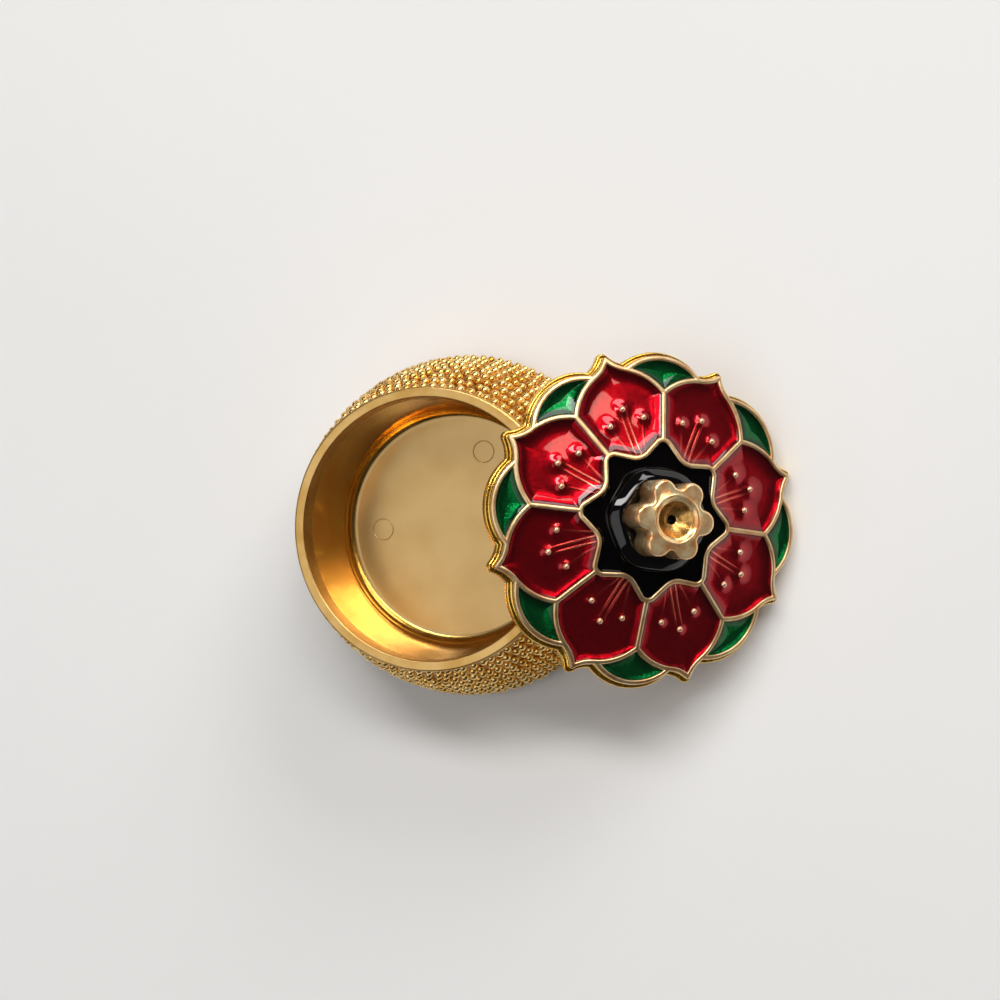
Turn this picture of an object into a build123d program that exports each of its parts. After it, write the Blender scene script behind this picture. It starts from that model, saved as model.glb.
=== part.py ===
from build123d import *

import os
from math import cos, radians, sin, tan

# Kumkum box: a cast pot, and a loose enamelled flower lid that leans on its rim.
# Millimetres. The pot stands on Z = 0 about the Z axis, and the lid leans towards +X.

# Pot, outside
RIM_HEIGHT = 18.15
RIM_DIAMETER = 35.35
RIM_EDGE_RADIUS = 0.25
NECK_HEIGHT = 1.5
BASE_DIAMETER = 45.4
BASE_EDGE_RADIUS = 1.6
SIDE_BULGE = 0.7

# Pot, inside
MOUTH_DIAMETER = 32.7
MOUTH_DEPTH = 2.6
MOUTH_CHAMFER = 0.2
WELL_FLOOR_HEIGHT = 6.1
WELL_FLOOR_DIAMETER = 30.4
WELL_FILLET = 1.4
EJECTOR_MARK_COUNT = 2
EJECTOR_MARK_DIAMETER = 2.8
EJECTOR_MARK_CIRCLE = 20.8
EJECTOR_MARK_DEPTH = 0.08
EJECTOR_MARK_TURN = 67
EJECTOR_MARK_SPACING = 113

# Lid outline: sizes to the middle of the cell walls, seen along the lid's own axis
PETAL_COUNT = 8
PETAL_TIP_RADIUS = 20.0
PETAL_TIP_LENGTH = 1.65
PETAL_TIP_WIDTH = 4.0
PETAL_SHOULDER_BULGE = 0.55
VALLEY_RADIUS = 15.55
STAR_TIP_RADIUS = 10.15
STAR_TIP_FILLET = 0.8
STAR_NOTCH_RADIUS = 7.5
STAR_NOTCH_FILLET = 2.2
LEAF_SETBACK = 0.2
LEAF_ARC_RADIUS = 6.6
CELL_WALL = 0.6

# Lid section: a conical crown over a flat seat
CROWN_EDGE_HEIGHT = 1.9
CROWN_SLOPE_ANGLE = 13.1
CELL_DEPTH = 0.9
ENAMEL_DROP = 0.3
LEDGE_WIDTH = 0.5
LEDGE_HEIGHT = 0.95
SPIGOT_CLEARANCE = 0.3
SPIGOT_WALL = 1.3
SPIGOT_HEIGHT = 1.2
UNDERSIDE_RECESS = 0.8

# Stamen pins, three in each petal
STAMEN_DIAMETER = 0.65
STAMEN_DROP = 0.1
MIDDLE_STAMEN_RADIUS = 13.8
SIDE_STAMEN_RADIUS = 12.2
SIDE_STAMEN_SPREAD = 4.5

# Knob
LOBE_COUNT = 6
LOBE_RADIUS = 1.75
LOBE_CIRCLE_RADIUS = 3.25
LOBE_VALLEY_FILLET = 0.35
KNOB_HEIGHT = 4.8
KNOB_EDGE_DROP = 0.5
KNOB_BOSS_DIAMETER = 6.8
KNOB_SEAT_RISE = 0.1
CUP_DIAMETER = 5.6
CUP_DEPTH = 1.5
CUP_FLOOR_DIAMETER = 1.4
CUP_EYE_DIAMETER = 0.8
CUP_EYE_DEPTH = 0.8
TENON_DIAMETER = 3.0
TENON_CLEARANCE = 0.05
RIVET_HEAD_DIAMETER = 4.6
RIVET_HEAD_HEIGHT = 0.6

# Collar of enamel round the knob's foot
COLLAR_DIAMETER = 12.6
COLLAR_RISE = 0.5
COLLAR_ROUNDING = 0.9
COLLAR_CLEARANCE = 0.05

# Pose of the open lid
LEAN_ANGLE = 36.3
LID_TURN = 13.2
LEAN_GAP = 0.19
LEAN_STEPS = 20

PLACE_TOLERANCE = 0.001

HALF_PITCH = 180 / PETAL_COUNT
CROWN_SLOPE = tan(radians(CROWN_SLOPE_ANGLE))
CROWN_REACH = PETAL_TIP_RADIUS + CELL_WALL + LEDGE_WIDTH


def polar(radius, angle):
    """Point at a radius and an angle in degrees."""
    return Vector(radius * cos(radians(angle)), radius * sin(radians(angle)))


def turned(outline):
    """Solid of revolution about Z from a closed outline drawn as (radius, height)."""
    return revolve(Plane.XZ * make_face(outline.edges()), Axis.Z)


def crown_height(radius):
    """Height of the cell walls' tops above the lid's seat."""
    return CROWN_EDGE_HEIGHT + CROWN_SLOPE * (PETAL_TIP_RADIUS - radius)


def under_crown(drop):
    """Everything above the seat and at least a drop below the crown."""
    outline = Polyline(
        (0, 0),
        (CROWN_REACH, 0),
        (CROWN_REACH, crown_height(CROWN_REACH) - drop),
        (0, crown_height(0) - drop),
        close=True,
    )
    return turned(outline)


def column(face, bottom, top):
    """Upright solid on a flat face, from one height to another."""
    return Pos(0, 0, bottom) * extrude(face, top - bottom)


def rings_at(body, height):
    """Round edges of a turned body at a height, smallest first."""
    rings = body.edges().filter_by(GeomType.CIRCLE)
    level = rings.filter_by_position(Axis.Z, height - PLACE_TOLERANCE, height + PLACE_TOLERANCE)
    return level.sort_by(SortBy.RADIUS)


def pot():
    """The cast pot, with its well, mouth and ejector marks."""
    rim = RIM_DIAMETER / 2
    mouth = MOUTH_DIAMETER / 2
    base = (BASE_DIAMETER / 2, 0)
    neck = (rim, RIM_HEIGHT - NECK_HEIGHT)
    side = SagittaArc(base, neck, -SIDE_BULGE)
    rest = Polyline(
        neck,
        (rim, RIM_HEIGHT),
        (mouth, RIM_HEIGHT),
        (mouth, RIM_HEIGHT - MOUTH_DEPTH),
        (WELL_FLOOR_DIAMETER / 2, WELL_FLOOR_HEIGHT),
        (0, WELL_FLOOR_HEIGHT),
        (0, 0),
        base,
    )
    body = turned(Curve() + [side, rest])
    body = fillet(rings_at(body, 0), BASE_EDGE_RADIUS)
    body = fillet(rings_at(body, WELL_FLOOR_HEIGHT), WELL_FILLET)
    body = fillet(rings_at(body, RIM_HEIGHT)[-1], RIM_EDGE_RADIUS)
    body = chamfer(rings_at(body, RIM_HEIGHT)[0], MOUTH_CHAMFER)
    marks = PolarLocations(
        EJECTOR_MARK_CIRCLE / 2,
        EJECTOR_MARK_COUNT,
        start_angle=EJECTOR_MARK_TURN,
        angular_range=EJECTOR_MARK_SPACING * EJECTOR_MARK_COUNT,
    )
    mark_floor = WELL_FLOOR_HEIGHT - EJECTOR_MARK_DEPTH
    mark = column(Circle(EJECTOR_MARK_DIAMETER / 2), mark_floor, WELL_FLOOR_HEIGHT)
    return body - marks * mark


def star_outline():
    """Wavy star between the petals' inner ends."""
    corners = []
    for index in range(PETAL_COUNT):
        corners.append(polar(STAR_NOTCH_RADIUS, 2 * HALF_PITCH * index))
        corners.append(polar(STAR_TIP_RADIUS, 2 * HALF_PITCH * index + HALF_PITCH))
    star = Sketch() + make_face(Polyline(*corners, close=True).edges())
    tips = star.vertices().sort_by(lambda corner: Vector(*corner).length)[PETAL_COUNT:]
    star = fillet(tips, STAR_TIP_FILLET)
    notches = star.vertices().sort_by(lambda corner: Vector(*corner).length)[:PETAL_COUNT]
    return fillet(notches, STAR_NOTCH_FILLET)


def petal_outline(star):
    """One pointed petal along +X, from the star to its tip."""
    tip = Vector(PETAL_TIP_RADIUS, 0)
    valley = polar(VALLEY_RADIUS, HALF_PITCH)
    turn = Vector(PETAL_TIP_RADIUS - PETAL_TIP_LENGTH, PETAL_TIP_WIDTH / 2)
    side = Line((0, 0), valley)
    shoulder = SagittaArc(valley, turn, PETAL_SHOULDER_BULGE)
    point = TangentArc(turn, tip, tangent=shoulder % 1)
    half = Curve() + [side, shoulder, point]
    return make_face(half.edges() + mirror(half, Plane.XZ).edges()) - star


def leaf_outline(petal):
    """One leaf along +X, between the two petals beside it."""
    centre = PETAL_TIP_RADIUS - LEAF_SETBACK - LEAF_ARC_RADIUS
    leaf = Pos(centre, 0) * Circle(LEAF_ARC_RADIUS) - Circle(VALLEY_RADIUS)
    for side in (-HALF_PITCH, HALF_PITCH):
        leaf -= Rot(0, 0, side) * petal
    return leaf


def inset(outline):
    """The enamel cell inside an outline drawn to the middle of its walls."""
    return offset(outline, amount=-CELL_WALL / 2)


def stamens():
    """The three pins of the petal along +X, as flat discs."""
    disc = Circle(STAMEN_DIAMETER / 2)
    spots = [(MIDDLE_STAMEN_RADIUS, 0)]
    for side in (-1, 1):
        spots.append((SIDE_STAMEN_RADIUS, side * SIDE_STAMEN_SPREAD / 2))
    return Sketch() + [Pos(*spot) * disc for spot in spots]


def lid_casting(outline, cells, pins, star_cell):
    """Crown, cell walls, stamen pins, ledge, knob seat and spigot as one casting."""
    top = crown_height(0) + CELL_WALL
    wall_outline = offset(outline, amount=CELL_WALL / 2)
    ledge_outline = offset(outline, amount=CELL_WALL / 2 + LEDGE_WIDTH)
    body = column(wall_outline, 0, top) & under_crown(0)
    body += column(ledge_outline, 0, LEDGE_HEIGHT)
    floor = under_crown(CELL_DEPTH)
    for cell in cells + [star_cell]:
        body -= column(cell, 0, top) - floor
    body += column(pins, CROWN_EDGE_HEIGHT - CELL_DEPTH, top) & under_crown(STAMEN_DROP)
    body -= column(Circle(KNOB_BOSS_DIAMETER / 2), knob_seat_height(), top)
    spigot = MOUTH_DIAMETER / 2 - SPIGOT_CLEARANCE
    body += column(Circle(spigot), -SPIGOT_HEIGHT, 0)
    body -= column(Circle(spigot - SPIGOT_WALL), -SPIGOT_HEIGHT, UNDERSIDE_RECESS)
    body -= column(Circle(TENON_DIAMETER / 2 + TENON_CLEARANCE), UNDERSIDE_RECESS, top)
    return body


def knob_seat_height():
    """Height of the flat boss that the knob stands on, just proud of the enamel."""
    return crown_height(KNOB_BOSS_DIAMETER / 2) - ENAMEL_DROP + KNOB_SEAT_RISE


def knob_plan(clearance):
    """Six-lobed outline of the knob, seen along the lid's axis, with a clearance round it."""
    lobe = Circle(LOBE_RADIUS + clearance)
    lobes = PolarLocations(LOBE_CIRCLE_RADIUS, LOBE_COUNT, start_angle=-HALF_PITCH) * lobe
    plan = Sketch() + [Circle(LOBE_CIRCLE_RADIUS), *lobes]
    return fillet(plan.vertices(), LOBE_VALLEY_FILLET - clearance)


def knob():
    """Rosette with a cup in its top and a riveted tenon."""
    seat = knob_seat_height()
    top = seat + KNOB_HEIGHT
    reach = LOBE_CIRCLE_RADIUS + LOBE_RADIUS
    section = Polyline(
        (0, seat),
        (reach, seat),
        (reach, top - KNOB_EDGE_DROP),
        (CUP_DIAMETER / 2, top),
        (CUP_FLOOR_DIAMETER / 2, top - CUP_DEPTH),
        (CUP_EYE_DIAMETER / 2, top - CUP_DEPTH),
        (CUP_EYE_DIAMETER / 2, top - CUP_DEPTH - CUP_EYE_DEPTH),
        (0, top - CUP_DEPTH - CUP_EYE_DEPTH),
        close=True,
    )
    body = column(knob_plan(0), seat, top) & turned(section)
    body += column(Circle(TENON_DIAMETER / 2), UNDERSIDE_RECESS, seat)
    head_bottom = UNDERSIDE_RECESS - RIVET_HEAD_HEIGHT
    return body + column(Circle(RIVET_HEAD_DIAMETER / 2), head_bottom, UNDERSIDE_RECESS)


def collar():
    """Rounded ring of enamel round the knob's foot, from the floor of the star's cell up."""
    ring = Circle(COLLAR_DIAMETER / 2) - knob_plan(COLLAR_CLEARANCE)
    body = column(ring, 0, knob_seat_height() + COLLAR_RISE) - under_crown(CELL_DEPTH)
    rim = body.faces().sort_by(Axis.Z)[-1].outer_wire()
    return fillet(rim.edges(), COLLAR_ROUNDING)


def lid():
    """Every piece of the lid in the lid's own frame, by node name."""
    star = star_outline()
    petal = petal_outline(star)
    leaf = leaf_outline(petal)
    turns = [2 * HALF_PITCH * index for index in range(PETAL_COUNT)]
    petal_cells = [Rot(0, 0, turn) * inset(petal) for turn in turns]
    leaf_cells = [Rot(0, 0, turn + HALF_PITCH) * inset(leaf) for turn in turns]
    star_cell = inset(star) - Circle(KNOB_BOSS_DIAMETER / 2)
    petals = Sketch() + [Rot(0, 0, turn) * petal for turn in turns]
    leaves = Sketch() + [Rot(0, 0, turn + HALF_PITCH) * leaf for turn in turns]
    outline = star + petals + leaves
    pins = Sketch() + [Rot(0, 0, turn) * stamens() for turn in turns]
    top = crown_height(0) + CELL_WALL
    fill = under_crown(ENAMEL_DROP) - under_crown(CELL_DEPTH)
    pieces = {
        "lid_casting": lid_casting(outline, petal_cells + leaf_cells, pins, star_cell),
        "knob": knob(),
        "star_enamel": (column(star_cell, 0, top) & fill) + collar(),
    }
    for number, cell in enumerate(petal_cells, 1):
        pieces[f"petal_enamel_{number}"] = column(cell - pins, 0, top) & fill
    for number, cell in enumerate(leaf_cells, 1):
        pieces[f"leaf_enamel_{number}"] = column(cell, 0, top) & fill
    return pieces


def underside(casting):
    """Faces of the casting that look down on the pot: seat, spigot and recess."""
    top = UNDERSIDE_RECESS + PLACE_TOLERANCE
    return Compound(casting.faces().filter_by(lambda face: face.bounding_box().max.Z < top))


def lean(casting, pot_body):
    """Place of the open lid: its edge on the table, slid up to the pot until only a gap is left."""
    tilt = Rot(0, LEAN_ANGLE, 0) * Rot(0, 0, LID_TURN)
    rise = sin(radians(LEAN_ANGLE))
    run = cos(radians(LEAN_ANGLE))
    height = (Rot(0, 0, LID_TURN) * casting).bounding_box().max.X * rise
    across = RIM_DIAMETER / 2 + ((RIM_HEIGHT - height) * run + SPIGOT_HEIGHT + LEAN_GAP) / rise
    faces = tilt * underside(casting)
    for _ in range(LEAN_STEPS):
        gap = pot_body.distance_to(Pos(across, 0, height) * faces)
        across -= gap - LEAN_GAP
    print(f"lid seat centre at {across:.3f}, {height:.3f} mm, {gap:.4f} mm from the pot")
    return Pos(across, 0, height) * tilt


os.makedirs("parts", exist_ok=True)
lid_pieces = lid()
nodes = {"pot": pot()}
place = lean(lid_pieces["lid_casting"], nodes["pot"])
for name, piece in lid_pieces.items():
    nodes[name] = place * piece
for name, solid in nodes.items():
    export_step(solid, f"parts/{name}.step")
    print(name, f"{solid.volume:.1f} mm3")
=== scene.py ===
# %% [markdown]
# # A kumkum box, dressed over its frame
# The box is a small plated pot with a loose flower lid, which leans open against the rim.
# The frame holds the solid parts at their real size. Everything below gives them their finish,
# and never moves them. We keep the frame's own box, to compare it with the dressed part at the end.

# %% Load the frame
import random
from math import asin, atan2, cos, exp, hypot, pi, radians, sin, sqrt, tan

import bmesh
import bpy
from mathutils import Matrix, Vector, geometry, kdtree


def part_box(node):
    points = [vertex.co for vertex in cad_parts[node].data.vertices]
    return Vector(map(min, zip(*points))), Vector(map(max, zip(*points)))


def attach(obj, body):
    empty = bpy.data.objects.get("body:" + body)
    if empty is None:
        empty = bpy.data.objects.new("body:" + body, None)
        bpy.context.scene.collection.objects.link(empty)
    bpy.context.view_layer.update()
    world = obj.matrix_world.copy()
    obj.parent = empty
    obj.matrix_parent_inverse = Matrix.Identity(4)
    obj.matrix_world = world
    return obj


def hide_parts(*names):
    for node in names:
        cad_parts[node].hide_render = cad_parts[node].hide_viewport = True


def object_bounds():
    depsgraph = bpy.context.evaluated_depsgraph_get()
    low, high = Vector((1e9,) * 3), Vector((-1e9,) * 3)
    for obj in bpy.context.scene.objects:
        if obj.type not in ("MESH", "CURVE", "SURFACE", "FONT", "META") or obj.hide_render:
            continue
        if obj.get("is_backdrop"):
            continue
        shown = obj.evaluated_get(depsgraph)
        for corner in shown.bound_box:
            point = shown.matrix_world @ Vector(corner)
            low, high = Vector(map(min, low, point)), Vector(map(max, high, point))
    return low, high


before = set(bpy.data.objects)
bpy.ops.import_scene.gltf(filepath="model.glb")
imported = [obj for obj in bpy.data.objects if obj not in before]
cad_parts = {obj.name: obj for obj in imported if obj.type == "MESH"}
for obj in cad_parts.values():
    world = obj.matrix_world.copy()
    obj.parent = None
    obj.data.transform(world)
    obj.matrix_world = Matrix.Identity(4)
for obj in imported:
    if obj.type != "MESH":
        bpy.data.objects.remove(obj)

CAD_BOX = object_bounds()
print("frame nodes:", len(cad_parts))

# %% [markdown]
# ## Tools for a piece
# Sizes in this script are millimetres, as on a drawing, and a piece is scaled to metres once,
# when it is finished. A finished piece keeps its place in its mesh, with its object at the origin,
# so that a pattern on object coordinates stays where it was put.

# %% Finish a piece
MM = 0.001


def finish_piece(bm, name, body, materials, place=None, replaced=()):
    """Turns a bmesh in millimetres into a finished object that rides on a body."""
    bmesh.ops.scale(bm, vec=(MM, MM, MM), verts=bm.verts)
    if place:
        bmesh.ops.transform(bm, matrix=place, verts=bm.verts)
    mesh = bpy.data.meshes.new(name)
    bm.to_mesh(mesh)
    bm.free()
    mesh.shade_smooth()
    for material in materials:
        mesh.materials.append(material)
    piece = bpy.data.objects.new(name, mesh)
    bpy.context.scene.collection.objects.link(piece)
    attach(piece, body)
    if replaced:
        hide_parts(*replaced)
    mesh.calc_loop_triangles()
    print(name, len(mesh.loop_triangles), "triangles")
    return piece


# %% [markdown]
# ## Rings and skins
# Most of the lid is a stack of closed outlines. A ring of edges is laid for each outline, and
# Bridge Edge Loops skins one ring to the next, as in the editor. Modelling from a filled curve
# would be shorter, but rings let us choose every rounding.

# %% Ring tools
def add_ring(bm, points):
    """A closed ring of edges through points."""
    verts = [bm.verts.new(point) for point in points]
    return [bm.edges.new((verts[index - 1], vert)) for index, vert in enumerate(verts)]


def skin(bm, rings, material=0):
    """Bridges each ring of edges to the next, and gives the new faces a material."""
    for ring, following in zip(rings, rings[1:]):
        made = bmesh.ops.bridge_loops(bm, edges=ring + following)
        for face in made["faces"]:
            face.material_index = material


def close_ring(bm, ring, material=0):
    """Closes a ring of edges with one face."""
    made = bmesh.ops.edgeloop_fill(bm, edges=ring)
    for face in made["faces"]:
        face.material_index = material


def open_edges(bm):
    """How many edges don't lie between exactly two faces."""
    return sum(1 for edge in bm.edges if len(edge.link_faces) != 2)


# %% [markdown]
# ## Tools for a finish
# Colours are written as sRGB hex, as a paint chip is read, and turned to linear light here.
# One small function adds any node with its settings and its inputs.

# %% Colour and node tools
def linear(hex_colour):
    """An sRGB hex colour as linear RGBA."""
    channels = [int(hex_colour[start:start + 2], 16) / 255 for start in (1, 3, 5)]
    bright = [c / 12.92 if c <= 0.04045 else ((c + 0.055) / 1.055) ** 2.4 for c in channels]
    return (*bright, 1.0)


def add_node(tree, kind, inputs=None, **settings):
    """Adds a node. An input is given a constant, or another node's output to link."""
    node = tree.nodes.new(kind)
    for name, value in settings.items():
        setattr(node, name, value)
    for key, value in (inputs or {}).items():
        if isinstance(value, bpy.types.NodeSocket):
            tree.links.new(value, node.inputs[key])
        else:
            node.inputs[key].default_value = value
    return node


def start_material(name, **constants):
    """A new material, its node tree and its shader, with constants set on the shader."""
    material = bpy.data.materials.new(name)
    material.use_nodes = True
    tree = material.node_tree
    shader = tree.nodes["Principled BSDF"]
    for socket, value in constants.items():
        shader.inputs[socket].default_value = value
    return material, tree, shader


# %% [markdown]
# ## Gold plate
# The box is cast white metal with a thin gold plate. The plate's own colour hardly changes, but
# handling dulls it in patches, and the casting under it is grainy. So each finish mixes a clean
# and a tarnished gold over patches, and gets its roughness and a shallow bump from a finer grain.
# Noise crowds about a half, so the middle of its range is stretched. A clear lacquer mirrors with no
# tint of its own, so it makes the brightest places in the well paler.

# %% Gold plate
PATCH_RANGE = (0.4, 0.68)
GRAIN_RANGE = (0.3, 0.7)
LACQUER_ROUGHNESS = 0.12


def gold_plate(name, clean, tarnished, roughness, patch_mm, grain_mm, relief_mm, metallic=1.0, lacquer=0.0):
    """Plated metal: two golds in patches, with a roughness range and a grain."""
    material, tree, shader = start_material(name, Metallic=metallic)
    shader.inputs["Coat Weight"].default_value = lacquer
    shader.inputs["Coat Roughness"].default_value = LACQUER_ROUGHNESS
    where = add_node(tree, "ShaderNodeTexCoord").outputs["Object"]
    patches = add_node(tree, "ShaderNodeTexNoise",
                       {"Vector": where, "Scale": 1 / (patch_mm * MM), "Detail": 3.0})
    grain = add_node(tree, "ShaderNodeTexNoise",
                     {"Vector": where, "Scale": 1 / (grain_mm * MM), "Detail": 2.0})
    share = add_node(tree, "ShaderNodeMapRange",
                     {"Value": patches.outputs["Fac"],
                      "From Min": PATCH_RANGE[0], "From Max": PATCH_RANGE[1]})
    colour = add_node(tree, "ShaderNodeMix",
                      {"Factor": share.outputs["Result"], 6: linear(clean), 7: linear(tarnished)},
                      data_type="RGBA")
    tree.links.new(colour.outputs[2], shader.inputs["Base Color"])
    rough = add_node(tree, "ShaderNodeMapRange",
                     {"Value": grain.outputs["Fac"],
                      "From Min": GRAIN_RANGE[0], "From Max": GRAIN_RANGE[1],
                      "To Min": roughness[0], "To Max": roughness[1]})
    tree.links.new(rough.outputs["Result"], shader.inputs["Roughness"])
    bump = add_node(tree, "ShaderNodeBump", {"Height": grain.outputs["Fac"], "Distance": relief_mm * MM})
    tree.links.new(bump.outputs["Normal"], shader.inputs["Normal"])
    return material


# %% Gold finishes of the pot
# Wall of the well: bright, with broad reflections that wander over the waves of the casting.
POLISHED = gold_plate("polished_gold_plate", "#FFCB50", "#F4AC2A", (0.1, 0.18), patch_mm=4.5, grain_mm=2.2,
                      relief_mm=0.05, metallic=0.98, lacquer=1.0)
# Foot of the well: a darker, softer ring round the floor, with the shade of the corner painted into its
# colour.
CORNER_SHADE_GOLD = gold_plate("corner_shade_gold_plate", "#D8A850", "#B07C30", (0.18, 0.26), patch_mm=4.0, grain_mm=0.6,
                    relief_mm=0.012)
# Floor of the well: pale, even and soft, as the mould left it.
SATIN = gold_plate("satin_gold_plate", "#C2A26A", "#BA9860", (0.25, 0.25), patch_mm=5.0, grain_mm=0.4,
                   relief_mm=0.0005, metallic=0.7)
# Rim and neck: a plain pale band with blurred reflections.
RIM = gold_plate("rim_gold_plate", "#D2AC6C", "#C09652", (0.28, 0.38), patch_mm=4.0, grain_mm=0.4,
                 relief_mm=0.012)
# Granules: light gold, with one small soft highlight on each.
BEADED = gold_plate("beaded_gold_plate", "#FFD98C", "#E2AA48", (0.18, 0.32), patch_mm=3.0, grain_mm=0.3,
                    relief_mm=0.02)
# The side between the granules: dull brown gold, painted shade between the granules, which sets them off.
HOLLOW = gold_plate("hollow_gold_plate", "#B98430", "#84561A", (0.3, 0.45), patch_mm=3.0, grain_mm=0.4,
                    relief_mm=0.02)
print("pot finishes made")

# %% Gold finishes of the lid
# Walls between the cells: pale worn gold, with a soft line of light along each.
WALL = gold_plate("worn_wall_gold", "#F8D8A4", "#DCA874", (0.3, 0.42), patch_mm=2.5, grain_mm=0.25,
                  relief_mm=0.006)
# Pin heads: pinkish gold, with a painted reflection of the red round it.
PIN = gold_plate("pin_head_gold", "#F6CBA8", "#E2AE88", (0.2, 0.32), patch_mm=1.0, grain_mm=0.2,
                 relief_mm=0.01, metallic=0.75)
# Edge and underside: clear yellow gold with a grainy gloss.
SKIRT = gold_plate("skirt_gold_plate", "#F6CA60", "#DDA23A", (0.16, 0.3), patch_mm=3.0, grain_mm=0.4,
                   relief_mm=0.03)
# Knob: pale gold with a coppery tarnish in small patches.
KNOB = gold_plate("antique_knob_gold", "#FFE4AC", "#EAA260", (0.15, 0.26), patch_mm=1.3, grain_mm=0.3,
                  relief_mm=0.012, metallic=0.7)
# Cup in the knob: browner than the lobes, because fingers don't rub it.
CUP = gold_plate("darkened_cup_gold", "#CFA05A", "#9A6C34", (0.2, 0.32), patch_mm=0.8, grain_mm=0.3,
                 relief_mm=0.03, metallic=0.9)
print("lid finishes made")

# %% [markdown]
# ## Candy enamel
# Translucent enamel lies over the metal floor of each cell, so light goes down through the colour,
# comes back from metal and passes the colour again. A nearly metallic base in the enamel's colour
# under a clear coat gives that look and exports well, where real glass over metal would be noisy.
# The floor under it curves up to the walls, as a cast dish does, so a bump bends the base and leaves
# the coat alone: the enamel's own surface is smooth as glass. The mesh keeps each point's distance
# from the wall, and its place in the petal, as attributes in millimetres, which the finish reads.
#
# Each petal has raised filaments under its enamel, which run out from the star to the stamen pins.
# They are drawn from how far along the petal and how far across it a point lies. The middle one is
# broad, and only its two edges catch light. The side ones are fine and lie on a slant, so their
# distance is measured square to it. Their pale ridge colour is partly the metal seen through the
# enamel and partly painted highlight.

# %% Filaments under the enamel
FILAMENT_EDGE = 0.34
FILAMENT_LINE = 0.2
FILAMENT_FADE = 4.5
SIDE_FILAMENT_STRENGTH = 0.4
MIDDLE_STAMEN_RADIUS = 13.8
SIDE_STAMEN = Vector((12.2, 2.25))
SIDE_FILAMENT_START = Vector((8.6, 0.95))


def filament_lines(tree):
    """1 on both edges of a petal's filament, falling to 0 beside them, and weaker on the side ones."""
    along = add_node(tree, "ShaderNodeAttribute", attribute_name="petal_along").outputs["Fac"]
    across = add_node(tree, "ShaderNodeAttribute", attribute_name="petal_across").outputs["Fac"]
    side = add_node(tree, "ShaderNodeMath", {0: across}, operation="ABSOLUTE").outputs["Value"]
    off_edge = add_node(tree, "ShaderNodeMath", {0: side, 1: FILAMENT_EDGE}, operation="SUBTRACT")
    middle = add_node(tree, "ShaderNodeMath", {0: off_edge.outputs["Value"]}, operation="ABSOLUTE")
    run = (SIDE_STAMEN - SIDE_FILAMENT_START).normalized()
    offset = add_node(tree, "ShaderNodeMath", {0: side, 1: run.x, 2: SIDE_FILAMENT_START.cross(run)},
                      operation="MULTIPLY_ADD")
    off_run = add_node(tree, "ShaderNodeMath", {0: along, 1: -run.y, 2: offset.outputs["Value"]},
                       operation="MULTIPLY_ADD")
    slant = add_node(tree, "ShaderNodeMath", {0: off_run.outputs["Value"]}, operation="ABSOLUTE")
    lines = []
    for distance, end, strength in ((middle, MIDDLE_STAMEN_RADIUS, 1.0),
                                    (slant, SIDE_STAMEN.x, SIDE_FILAMENT_STRENGTH)):
        line = add_node(tree, "ShaderNodeMapRange",
                        {"Value": distance.outputs["Value"],
                         "From Min": FILAMENT_LINE, "From Max": FILAMENT_LINE / 4},
                        interpolation_type="SMOOTHSTEP").outputs["Result"]
        fade = add_node(tree, "ShaderNodeMapRange",
                        {"Value": along, "From Min": end, "From Max": end - FILAMENT_FADE,
                         "To Max": strength}).outputs["Result"]
        lines.append(add_node(tree, "ShaderNodeMath", {0: line, 1: fade},
                              operation="MULTIPLY").outputs["Value"])
    return add_node(tree, "ShaderNodeMath", {0: lines[0], 1: lines[1]},
                    operation="MAXIMUM").outputs["Value"]


# %% Candy enamel
ENAMEL_ROUGHNESS = 0.24
COAT_ROUGHNESS = 0.03
DISH_REACH = 2.0
DISH_RISE = 0.3
DISH_POWER = 3.0
FILAMENT_RISE = 0.12
# How far the painted shade of the walls reaches into a cell, and the colour's share at the wall and in the
# middle.
WALL_SHADE_REACH = 1.2
BRIGHT_AT_WALL = 0.15
BRIGHT_IN_MIDDLE = 0.66
MOTTLE = 0.12


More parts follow.
